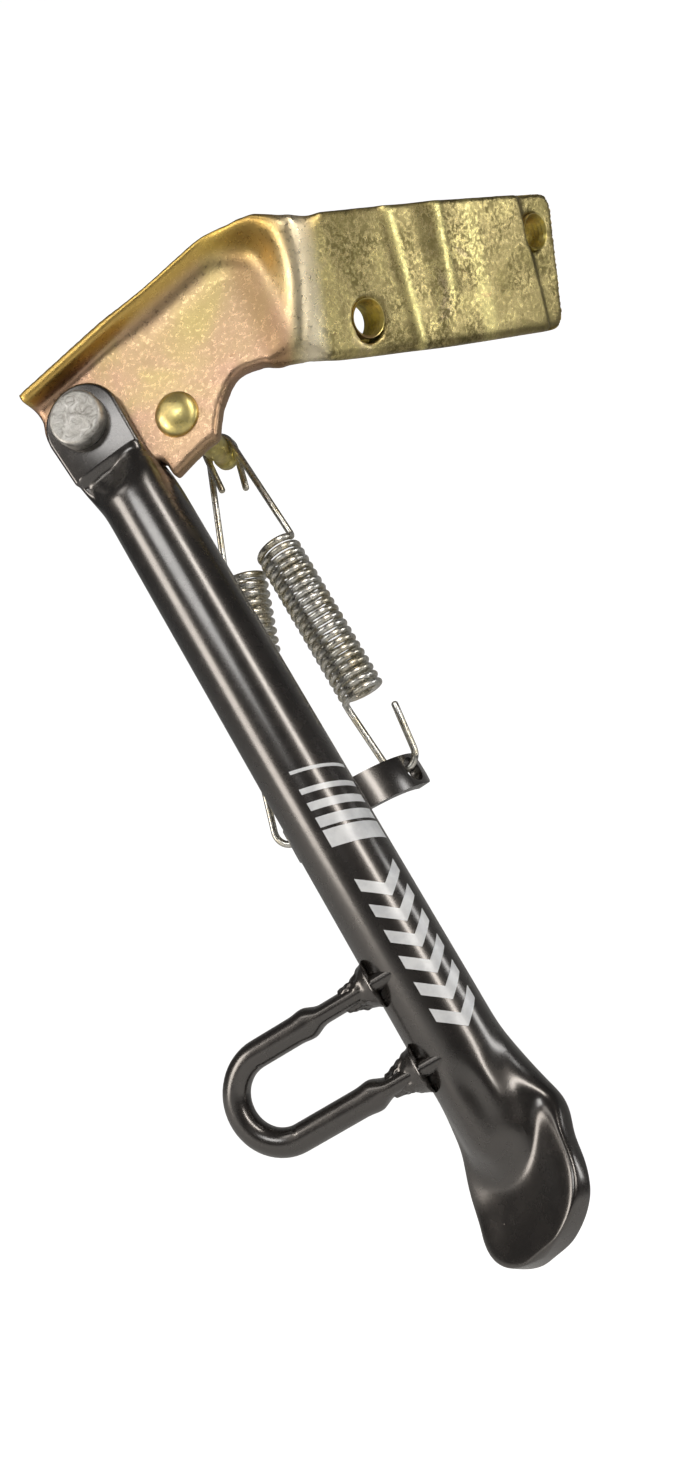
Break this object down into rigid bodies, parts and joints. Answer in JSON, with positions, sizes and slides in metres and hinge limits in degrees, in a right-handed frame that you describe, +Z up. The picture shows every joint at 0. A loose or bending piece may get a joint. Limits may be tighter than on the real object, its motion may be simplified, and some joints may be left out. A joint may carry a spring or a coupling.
{
  "type": "motorcycle side stand",
  "caption": "Sprung side stand: plated frame bracket with a bent arm, swinging black tube leg with a foot loop and pad, paired return springs.",
  "frame": {"origin": "centre of the lower mounting hole's mouth, on the arm's front face", "axes": "+Z up with the stand folded against its stop, +X towards the foot, -Y out of the vehicle's side, towards the viewer"},
  "size_m": [0.1522, 0.0891, 0.2871],
  "materials": {
    "zinc_yellow": "yellow zinc plating, mottled",
    "zinc_silver": "bright zinc plating",
    "spring_wire": "bright zinc plating",
    "black_paint": "satin black paint",
    "bush_bronze": "machined",
    "lock_nylon": "moulded",
    "print_silver": "printed ink"
  },
  "bodies": {
    "bracket": {"bracket_plate": "zinc_yellow", "weld_nut_lower": "zinc_yellow", "weld_nut_upper": "zinc_yellow", "spring_stud": "zinc_yellow", "pivot_bush": "bush_bronze"},
    "leg": {"leg_tube": "black_paint", "foot_loop": "black_paint", "loop_welds": "black_paint", "spring_yoke": "black_paint", "yoke_welds": "black_paint", "pivot_bolt": "zinc_silver", "pivot_washer": "zinc_silver", "pivot_nut": "zinc_silver", "nut_lock_ring": "lock_nylon", "side_print": "print_silver"},
    "outer_spring_upper": {"outer_spring_coil": "spring_wire"},
    "outer_spring_lower": {"outer_spring_lower_hook": "spring_wire"},
    "inner_spring_upper": {"inner_spring_coil": "spring_wire"},
    "inner_spring_lower": {"inner_spring_lower_hook": "spring_wire"}
  },
  "joints": [
    {"name": "leg_swing", "type": "hinge", "parent": "bracket", "child": "leg", "pos_m": [-0.07681, -0.0102, -0.02723], "axis": [0, 1, 0], "range_deg": [0, 97], "stiffness_Nm_per_rad": 1.8, "springref_deg": -34.38},
    {"name": "outer_spring_turn", "type": "hinge", "parent": "bracket", "child": "outer_spring_upper", "pos_m": [-0.05035, 0.0161, -0.02635], "axis": [0, 1, 0], "range_deg": [-1, 92.7]},
    {"name": "outer_spring_stretch", "type": "slide", "parent": "outer_spring_upper", "child": "outer_spring_lower", "axis": [0.5109, 0, -0.8596], "range_m": [-0.001, 0.039], "deforming": ["outer_spring_coil", "outer_spring_lower_hook"]},
    {"name": "inner_spring_turn", "type": "hinge", "parent": "bracket", "child": "inner_spring_upper", "pos_m": [-0.05035, 0.0185, -0.02635], "axis": [0, 1, 0], "range_deg": [-1, 88.1]},
    {"name": "inner_spring_stretch", "type": "slide", "parent": "inner_spring_upper", "child": "inner_spring_lower", "axis": [0.1925, 0, -0.9813], "range_m": [-0.001, 0.0339], "deforming": ["inner_spring_coil", "inner_spring_lower_hook"]}
  ],
  "couplings": [
    {"joint": "outer_spring_turn", "follows": "leg_swing", "ratio": 0.94518},
    {"joint": "outer_spring_stretch", "follows": "leg_swing", "m_per_rad": 0.022423},
    {"joint": "inner_spring_turn", "follows": "leg_swing", "ratio": 0.89803},
    {"joint": "inner_spring_stretch", "follows": "leg_swing", "m_per_rad": 0.019409}
  ]
}
